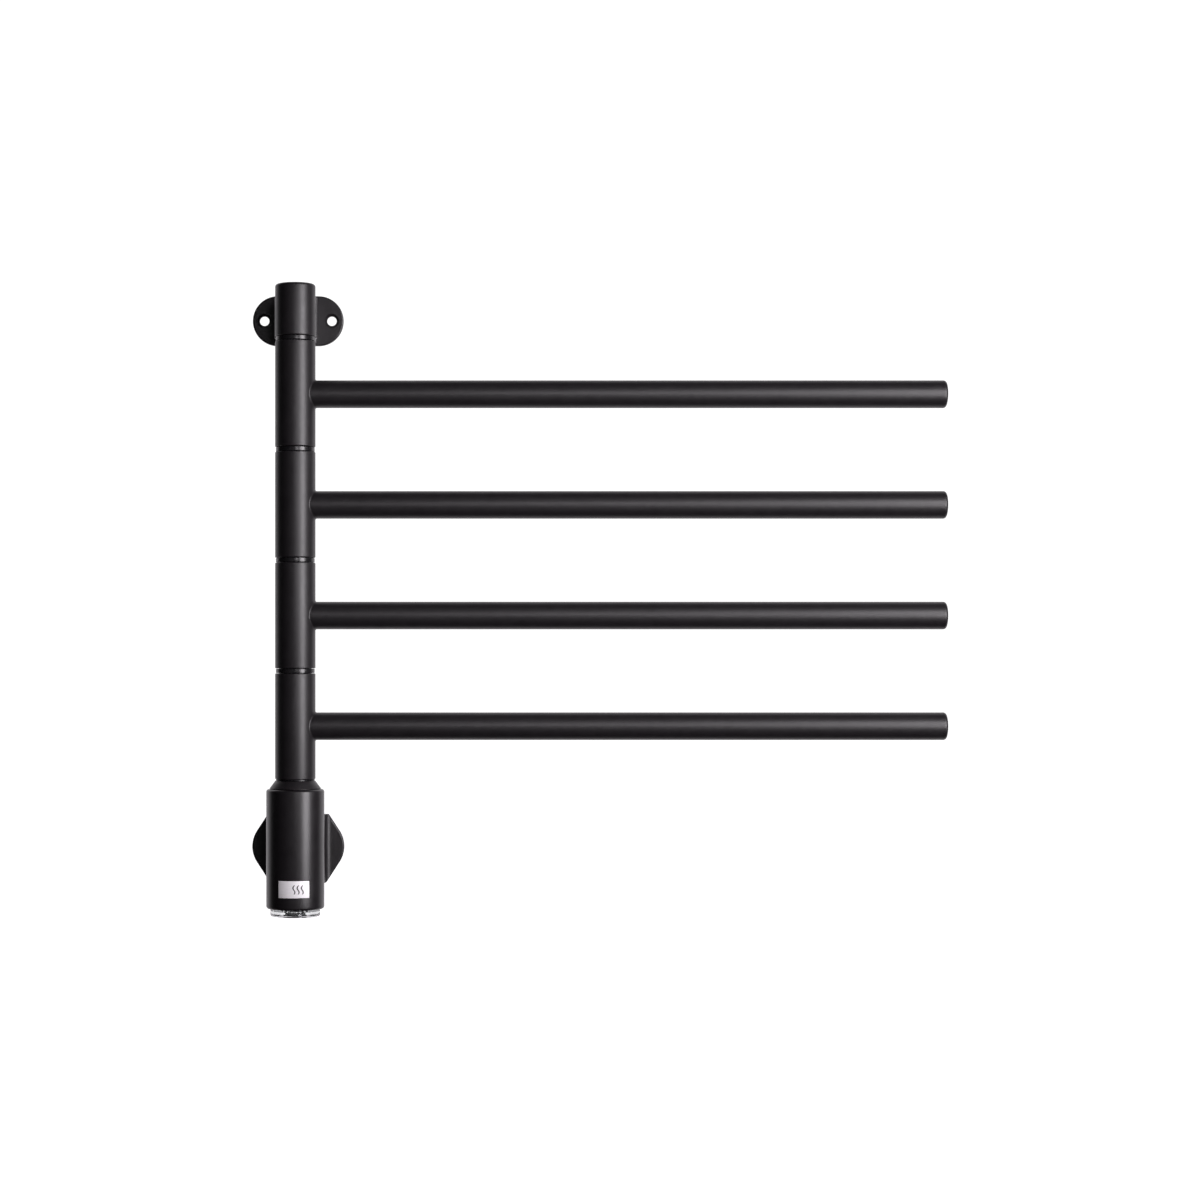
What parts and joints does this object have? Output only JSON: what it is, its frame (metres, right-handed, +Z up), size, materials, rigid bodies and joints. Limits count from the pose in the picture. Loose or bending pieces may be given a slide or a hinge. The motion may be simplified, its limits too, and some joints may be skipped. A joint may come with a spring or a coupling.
{
  "type": "swivel-arm electric towel warmer",
  "caption": "Wall-mounted electric towel rack: a vertical post with swivelling heated arms, a round control housing with a push button at its foot, and two wall brackets.",
  "frame": {"origin": "centre of the upper bracket's back face, on the wall", "axes": "+Z up, +Y into the wall (the front faces -Y), +X along the arms at rest"},
  "size_m": [0.5361, 0.0676, 0.4852],
  "materials": {
    "satin_black": "satin powder coat with a very fine grain",
    "bearing_black": "smooth turned bearing plastic, slightly glossy",
    "tube_steel": "drawn steel tube",
    "badge_steel": "brushed silver plate",
    "dark_steel": "blackened steel",
    "spring_steel": "bright spring wire",
    "cast_alloy": "as cast",
    "clear_plastic": "clear moulded plastic",
    "black_plastic": "moulded",
    "white_plastic": "moulded",
    "board_green": "solder mask",
    "red_lens": "tinted lens",
    "heater_foil": "foil wrapped",
    "red_sheath": "silicone sheath",
    "grey_sheath": "silicone sheath"
  },
  "bodies": {
    "mast": {"top_sleeve": "satin_black", "upper_bracket": "satin_black", "housing_collar": "satin_black", "control_housing": "satin_black", "lower_bracket": "satin_black", "bearing_ring_1": "bearing_black", "bearing_ring_2": "bearing_black", "bearing_ring_3": "bearing_black", "bearing_ring_4": "bearing_black", "bearing_ring_5": "bearing_black", "core_tube": "tube_steel", "badge": "badge_steel", "core_nut": "dark_steel", "sleeve_bolt_1": "dark_steel", "sleeve_bolt_2": "dark_steel", "housing_bolt_1": "dark_steel", "housing_bolt_2": "dark_steel", "lower_wall_plate": "dark_steel", "lock_screw": "dark_steel", "mounting_block": "cast_alloy", "board_carrier": "black_plastic", "power_relay": "black_plastic", "board_capacitor": "black_plastic", "push_switch": "black_plastic", "cable_grommet": "black_plastic", "button_guide": "white_plastic", "cable_clamp": "white_plastic", "terminal_block": "white_plastic", "control_board": "board_green", "status_light": "red_lens", "wiring_harness": "grey_sheath", "supply_lead": "grey_sheath"},
    "arm_1": {"hub_1": "satin_black", "arm_tube_1": "satin_black", "arm_cap_1": "satin_black", "stop_pin_1": "dark_steel", "heater_1": "heater_foil", "heater_lead_1": "red_sheath"},
    "arm_2": {"hub_2": "satin_black", "arm_tube_2": "satin_black", "arm_cap_2": "satin_black", "stop_pin_2": "dark_steel", "heater_2": "heater_foil", "heater_lead_2": "red_sheath"},
    "arm_3": {"hub_3": "satin_black", "arm_tube_3": "satin_black", "arm_cap_3": "satin_black", "stop_pin_3": "dark_steel", "heater_3": "heater_foil", "heater_lead_3": "red_sheath"},
    "arm_4": {"hub_4": "satin_black", "arm_tube_4": "satin_black", "arm_cap_4": "satin_black", "stop_pin_4": "dark_steel", "heater_4": "heater_foil", "heater_lead_4": "red_sheath"},
    "button": {"push_button": "clear_plastic", "retaining_ring": "dark_steel", "button_spring": "spring_steel"}
  },
  "joints": [
    {"name": "arm_1_swivel", "type": "hinge", "parent": "mast", "child": "arm_1", "pos_m": [0, -0.045, -0.0615], "axis": [0, 0, -1], "range_deg": [0, 180]},
    {"name": "arm_2_swivel", "type": "hinge", "parent": "mast", "child": "arm_2", "pos_m": [0, -0.045, -0.1465], "axis": [0, 0, -1], "range_deg": [0, 180]},
    {"name": "arm_3_swivel", "type": "hinge", "parent": "mast", "child": "arm_3", "pos_m": [0, -0.045, -0.2315], "axis": [0, 0, -1], "range_deg": [0, 180]},
    {"name": "arm_4_swivel", "type": "hinge", "parent": "mast", "child": "arm_4", "pos_m": [0, -0.045, -0.3165], "axis": [0, 0, -1], "range_deg": [0, 180]},
    {"name": "button_press", "type": "slide", "parent": "mast", "child": "button", "axis": [0, 0, 1], "range_m": [0, 0.0015], "stiffness_N_per_m": 400, "springref_m": -0.002, "deforming": ["button_spring"]}
  ]
}
